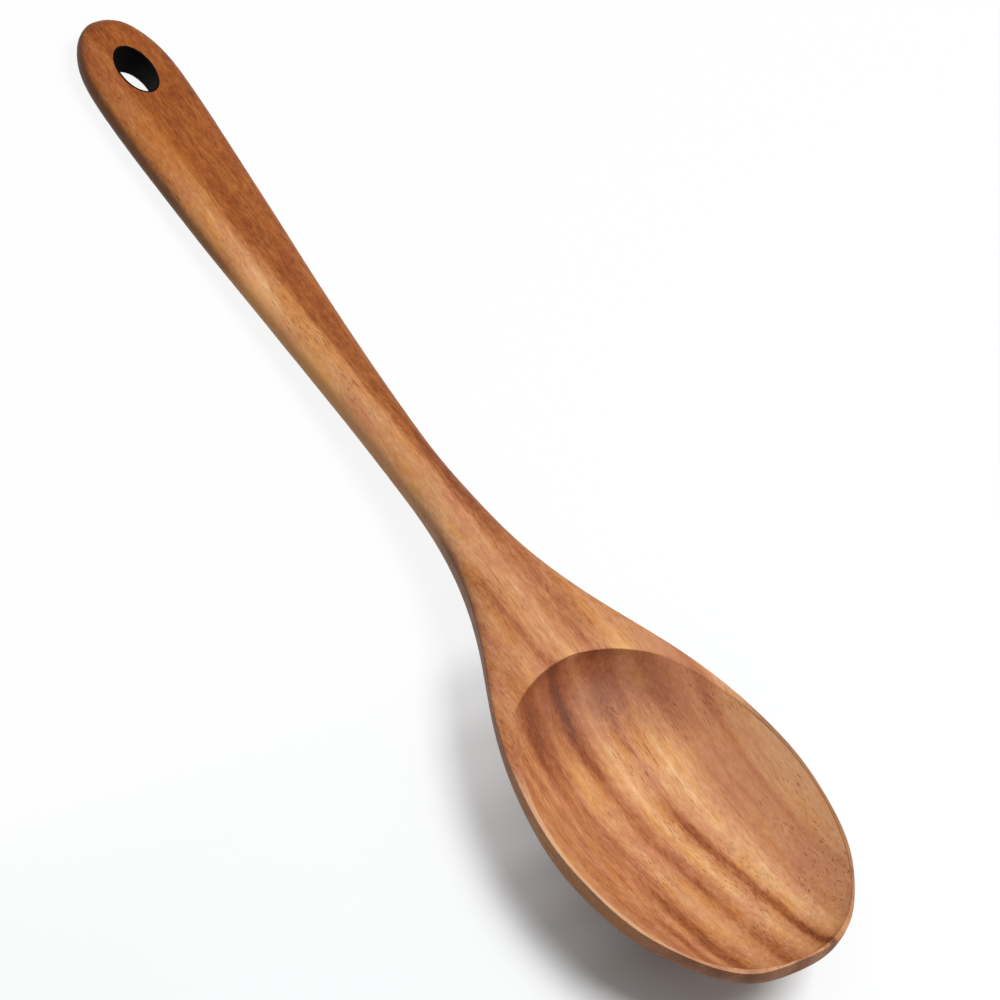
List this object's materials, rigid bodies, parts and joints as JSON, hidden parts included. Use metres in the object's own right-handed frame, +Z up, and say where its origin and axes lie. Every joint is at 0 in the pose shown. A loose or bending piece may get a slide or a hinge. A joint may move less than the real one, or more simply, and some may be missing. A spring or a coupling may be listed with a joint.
{
  "type": "wooden spoon",
  "caption": "Long-handled hardwood cooking spoon with a shallow oval bowl, a slim neck and an oblong lined hanging hole in the handle.",
  "frame": {"origin": "on the surface that the spoon lies on, under the middle of its bounding box", "axes": "+X along the spoon from the handle's end to the bowl's tip, +Y to the left across it, +Z up, with the bowl's hollow facing up"},
  "size_m": [0.3198, 0.0652, 0.0256],
  "materials": {
    "oiled_hardwood": "smooth sanded and oiled, satin",
    "black_lining": "matt black"
  },
  "bodies": {
    "root": {"spoon_body": "oiled_hardwood", "hanging_hole_liner": "black_lining"}
  },
  "joints": []
}
